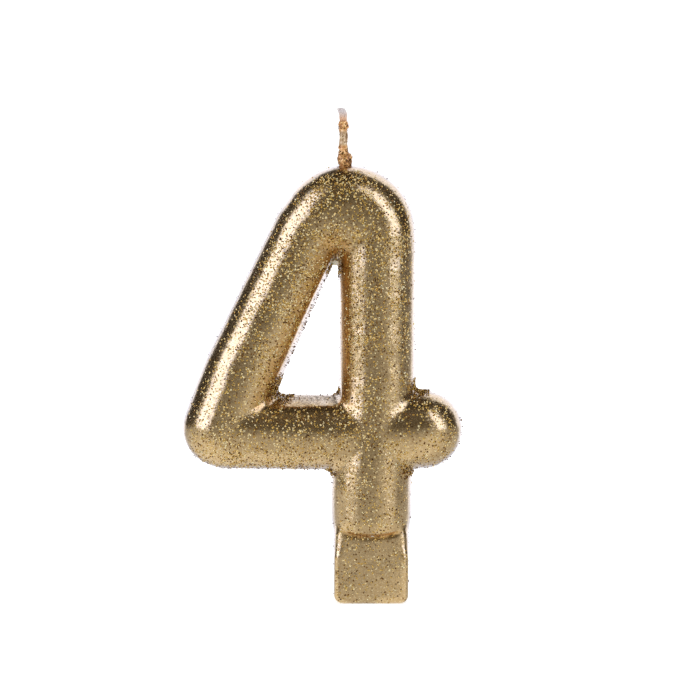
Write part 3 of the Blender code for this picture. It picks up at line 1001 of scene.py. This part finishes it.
def wick_row(start, end, step):
    """Points of the wick's centre line between two lengths, evenly spaced, with directions;
    without an end it runs to the tip."""
    points = bezier_row(WICK_KNOTS, 60)
    spans = [0.0]
    for first, second in zip(points, points[1:]):
        spans.append(spans[-1] + (second - first).length)
    xs = np.array([point.x for point in points])
    zs = np.array([point.z for point in points])
    if end is None:
        end = spans[-1]
    lengths = np.linspace(start, end, max(2, int((end - start) / step)) + 1)
    x = np.interp(lengths, spans, xs)
    z = np.interp(lengths, spans, zs)
    dx = np.gradient(x)
    dz = np.gradient(z)
    size = np.hypot(dx, dz)
    return lengths, np.stack((x, z), axis=1), np.stack((dx / size, dz / size), axis=1)


def length_at_height(height):
    """Length along the wick's centre line at a height."""
    lengths, places, _ = wick_row(0.0, None, 0.05)
    return float(np.interp(height, places[:, 1], lengths))


def plait_row(index, start, end, step):
    """Path of one plaited strand as lengths and rows of 3-D points."""
    lengths, places, along = wick_row(start, end, step)
    phase = math.tau * (lengths / PLAIT_PITCH + index / STRANDS)
    side = PLAIT_HALF_WIDTH * np.sin(phase)
    out = PLAIT_HALF_DEPTH * np.sin(2 * phase)
    x = places[:, 0] + along[:, 1] * side
    z = places[:, 1] - along[:, 0] * side
    return lengths, np.stack((x, out, z), axis=1)


def sweep(bm, points, radii, sides):
    """Closed tube through a row of points, in millimetres."""
    points = [Vector(point) for point in points]
    rings = []
    normal = Vector((0.0, 1.0, 0.0))
    for index, point in enumerate(points):
        before = points[max(index - 1, 0)]
        after = points[min(index + 1, len(points) - 1)]
        along = (after - before).normalized()
        normal = (normal - along * normal.dot(along)).normalized()
        across = along.cross(normal)
        ring = []
        for side in range(sides):
            angle = math.tau * side / sides
            offset = normal * math.cos(angle) + across * math.sin(angle)
            ring.append(bm.verts.new(point + offset * radii[index]))
        rings.append(ring)
    for low, high in zip(rings, rings[1:]):
        for side in range(sides):
            follow = (side + 1) % sides
            bm.faces.new((low[side], low[follow], high[follow], high[side]))
    bm.faces.new(rings[0][::-1])
    bm.faces.new(rings[-1])


def yarn_strand(index, material):
    """One cotton strand of the plait, spun from thin yarns round a middle one."""
    bm = bmesh.new()
    lengths, path = plait_row(index, 0.0, length_at_height(YARN_TOP), 0.3)
    for yarn in range(YARNS):
        ring = YARN_RING if yarn else 0.0
        turn = math.tau * (lengths / YARN_TWIST + yarn / (YARNS - 1))
        points = path.copy()
        points[:, 0] += ring * np.cos(turn)
        points[:, 1] += ring * np.sin(turn)
        radii = np.full(len(lengths), YARN_RADIUS) * (1.0 + 0.12 * np.sin(lengths * 5.0 + yarn))
        sweep(bm, points, radii, 7)
    obj = mesh_object("wick_yarns_%d" % (index + 1), mesh_from(bm, "wick_yarns"), material)
    obj.data.shade_smooth()
    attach(obj, "root")
    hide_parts("wick_strand_%d" % (index + 1))


def frayed_tip(material):
    """Bare cotton fibres at the tip of the wick."""
    bm = bmesh.new()
    lengths, places, _ = wick_row(length_at_height(TIP_BOTTOM), None, 0.16)
    run = (lengths - lengths[0]) / (lengths[-1] - lengths[0])
    for _ in range(TIP_FIBRES):
        angle = random.random() * math.tau
        ring = TIP_RING * math.sqrt(random.random())
        reach = 0.80 + 0.20 * random.random()
        count = max(4, int(len(lengths) * reach))
        spread = ring * (0.9 + 0.5 * run ** 2) * (1.0 - 0.25 * run ** 6)
        twist = angle + 1.6 * run
        points = np.stack((
            places[:, 0] + 0.22 * run - 0.42 * run ** 3 + spread * np.cos(twist),
            spread * np.sin(twist) * 0.9,
            places[:, 1] - 0.18 * (ring / TIP_RING) ** 2 * run,
        ), axis=1)[:count]
        phase = random.random() * 6.0
        points[:, 0] += TIP_WAVER * np.sin(run[:count] * 11.0 + phase)
        points[:, 1] += TIP_WAVER * np.cos(run[:count] * 9.0 + phase)
        radii = np.full(count, TIP_FIBRE_RADIUS) * np.linspace(1.0, 0.65, count)
        sweep(bm, points, radii, 5)
    obj = mesh_object("wick_frayed_tip", mesh_from(bm, "wick_frayed_tip"), material)
    obj.data.shade_smooth()
    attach(obj, "root")


def lump(bm, centre, size):
    """Rounded lump of wax, as an ellipsoid in millimetres."""
    made = bmesh.ops.create_uvsphere(bm, u_segments=24, v_segments=16, radius=1.0)
    bmesh.ops.scale(bm, vec=size, verts=made["verts"])
    bmesh.ops.translate(bm, vec=centre, verts=made["verts"])


def wax_film(material):
    """Wax set on the wick: a lumpy film, thick at the wick's foot and below its tip."""
    bm = bmesh.new()
    start = length_at_height(FILM_BOTTOM)
    end = length_at_height(FILM_TOP)
    for index in range(STRANDS):
        lengths, path = plait_row(index, start, end, 0.25)
        wobble = 0.04 * np.sin(lengths * 3.1 + index * 2.0)
        sweep(bm, path, FILM_RADIUS + wobble, 14)
    _, places, _ = wick_row(start, end, 0.25)
    core = np.stack((places[:, 0], np.zeros(len(places)), places[:, 1]), axis=1)
    sweep(bm, core, np.full(len(core), FILM_CORE_RADIUS), 14)
    for centre, size in FILM_LUMPS:
        lump(bm, centre, size)
    obj = mesh_object("wick_wax_film", mesh_from(bm, "wick_wax_film"), material)
    blend(obj, FILM_GRID, 4)
    places, normals = coords_of(obj.data)
    heights = np.array([
        0.10 * noise.noise(Vector(p) * PER_METRE / 0.55)
        + 0.045 * noise.noise(Vector(p) * PER_METRE / 0.22 + Vector((3.0, 9.0, 4.0)))
        for p in places])
    rough = np.interp(places[:, 2] / MM, *zip(*FILM_ROUGHNESS))
    move_to(obj, places + normals * (heights * rough * MM)[:, None])
    finish_skin(obj, material)
    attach(obj, "root")
    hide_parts("wick_wax_sleeve")
    return obj


def wick_glitter(film, material):
    """Brown glitter caught in the wax at the foot of the wick and below its tip."""
    def weight(places, _):
        return np.interp(places[:, 2] / MM, *zip(*FILM_GLITTER))

    points, facing = surface_samples(film.data, WICK_COUNT, weight)
    sizes = np.clip(random.normal(0.19, 0.04, WICK_COUNT), 0.12, 0.28)
    lean_deg = random.normal(0.0, 28.0, WICK_COUNT)
    lift = random.uniform(0.01, 0.05, WICK_COUNT)
    obj = flakes("glitter_wick_flakes", points, facing, lean_deg, sizes, lift, material)


# ---------------- studio


def glow_material(name):
    """Node material for a surface that only shines, with its emission shader."""
    material = bpy.data.materials.new(name)
    material.use_nodes = True
    material.cycles.emission_sampling = "NONE"
    tree = material.node_tree
    tree.nodes.clear()
    glow = node(tree, "ShaderNodeEmission")
    node(tree, "ShaderNodeOutputMaterial", Surface=glow.outputs[0])
    return material, tree, glow


def bearing(tree, parts):
    """Azimuth of a place from the front, in degrees, with and without its sign."""
    flipped = maths(tree, "MULTIPLY", parts["Y"], -1.0)
    azimuth = maths(tree, "DEGREES", maths(tree, "ARCTAN2", parts["X"], flipped))
    return azimuth, maths(tree, "ABSOLUTE", azimuth)


def reflected_studio():
    """Dome that only glossy rays see: softboxes, backdrop, floor and the dark room."""
    bm = bmesh.new()
    bmesh.ops.create_uvsphere(bm, u_segments=64, v_segments=32, radius=DOME_RADIUS)
    bmesh.ops.reverse_faces(bm, faces=bm.faces)
    material, tree, glow = glow_material("studio_dome_light")
    place = node(tree, "ShaderNodeNewGeometry").outputs["Position"]
    parts = split(tree, vectors(tree, "NORMALIZE", place))
    azimuth, off_axis = bearing(tree, parts)
    elevation = maths(tree, "DEGREES", maths(tree, "ARCSINE", parts["Z"]))
    total = None
    for across, upward, lean, both, colour, power in STUDIO:
        source = off_axis if both else azimuth
        if lean:
            source = maths(tree, "MULTIPLY_ADD", elevation, lean, source)
        mask = product(tree, window(tree, source, *across), window(tree, elevation, *upward))
        light = scaled(tree, tuple(part * power for part in colour), mask)
        total = light if total is None else vectors(tree, "ADD", total, light)
    set_inputs(tree, glow, Color=total)
    only_for_gloss(mesh_object("studio_dome", mesh_of(bm, "studio_dome"), material))


def only_for_gloss(obj):
    """Leave an object visible to reflections alone, as part of the studio."""
    for kind in ("camera", "diffuse", "transmission", "volume_scatter", "shadow"):
        setattr(obj, "visible_" + kind, False)


def table_tone(tree, reach, rows, tint):
    """Colour of the table by distance, from rows of (distance, radiance)."""
    return ramp(tree, reach, [
        (far / TABLE_SPAN, tuple(radiance * part for part in tint) + (1.0,))
        for far, radiance in rows])


def reflected_table():
    """Table top as the gold reflects it: bright close by, dim in front, white behind."""
    bm = bmesh.new()
    bmesh.ops.create_circle(bm, cap_ends=True, segments=64, radius=TABLE_RADIUS)
    bmesh.ops.translate(bm, verts=bm.verts, vec=(0.0, 0.0, TABLE_HEIGHT))
    material, tree, glow = glow_material("table_glow_light")
    place = node(tree, "ShaderNodeNewGeometry").outputs["Position"]
    length = node(tree, "ShaderNodeVectorMath", place, operation="LENGTH")
    reach = maths(tree, "DIVIDE", length.outputs["Value"], TABLE_SPAN)
    azimuth, off_axis = bearing(tree, split(tree, place))
    gain = 1.0
    for edges, power in TABLE_GLOW:
        gain = maths(tree, "MULTIPLY_ADD", window(tree, azimuth, *edges), power, gain)
    front = table_tone(tree, reach, TABLE_FRONT, TABLE_FRONT_TINT)
    behind = table_tone(tree, reach, TABLE_BEHIND, TABLE_BEHIND_TINT)
    share = smooth_step(tree, off_axis, *TABLE_TURN)
    set_inputs(tree, glow, Color=mix(tree, share, front, behind), Strength=gain)
    only_for_gloss(mesh_object("table_glow", mesh_of(bm, "table_glow"), material))


def pale_floor():
    """Plain pale floor that the candle stands on."""
    bm = bmesh.new()
    bmesh.ops.create_grid(bm, x_segments=8, y_segments=8, size=FLOOR_SIZE)
    material, tree, shader = new_material("pale_floor_paper")
    grain = node(tree, "ShaderNodeTexNoise", Scale=900.0, Detail=3.0)
    tone = ramp(tree, grain.outputs["Fac"], (
        (0.0, (0.90, 0.90, 0.90, 1.0)), (1.0, (0.93, 0.93, 0.93, 1.0))))
    set_inputs(
        tree, shader, Base_Color=tone, Roughness=0.9, Specular_IOR_Level=0.0,
        Emission_Color=(1.0, 1.0, 1.0, 1.0), Emission_Strength=FLOOR_GLOW)
    obj = mesh_object("pale_floor", mesh_of(bm, "pale_floor"), material)
    obj.visible_glossy = False


def white_world():
    """White surroundings for the background and for the matt surfaces."""
    world = bpy.data.worlds.new("white_studio")
    world.use_nodes = True
    background = world.node_tree.nodes["Background"]
    set_inputs(world.node_tree, background, Color=(1.0, 1.0, 1.0, 1.0), Strength=WORLD_STRENGTH)
    bpy.context.scene.world = world
    world.cycles_visibility.glossy = False


def front_camera():
    """Long-lens camera square to the numeral, slightly above its middle."""
    data = bpy.data.cameras.new("front_camera")
    data.sensor_width = SENSOR_WIDTH
    data.lens = SENSOR_WIDTH * CAMERA_DISTANCE / FRAME_WIDTH
    data.clip_start = 0.01
    data.clip_end = 10.0
    camera = bpy.data.objects.new("front_camera", data)
    bpy.context.scene.collection.objects.link(camera)
    raise_angle = math.radians(CAMERA_ELEVATION)
    way = Vector((0.0, -math.cos(raise_angle), math.sin(raise_angle)))
    camera.location = Vector(CAMERA_TARGET) + way * CAMERA_DISTANCE
    camera.rotation_euler = (-way).to_track_quat("-Z", "Y").to_euler()
    bpy.context.scene.camera = camera


# ---------------- assembly


def main():
    """Build the pieces, their materials and the studio."""
    coat = coat_skin(gold_coat_material())
    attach(coat, "root")
    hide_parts("gold_coat")

    tones = {name: flake_material("glitter_" + name, *look) for name, look in TONES.items()}
    spread_glitter(coat, tones)
    clumped_glitter(coat, tones)
    seam_glitter(coat, tones["brown"])

    cotton = cotton_material()
    for index in range(STRANDS):
        yarn_strand(index, cotton)
    frayed_tip(cotton)
    wick_glitter(wax_film(wick_film_material()), tones["brown"])

    ivory = ivory_wax_material()
    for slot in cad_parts["wax_body"].material_slots:
        slot.material = ivory

    reflected_studio()
    reflected_table()
    pale_floor()
    white_world()
    front_camera()
    bpy.context.scene.view_settings.view_transform = "Standard"


main()
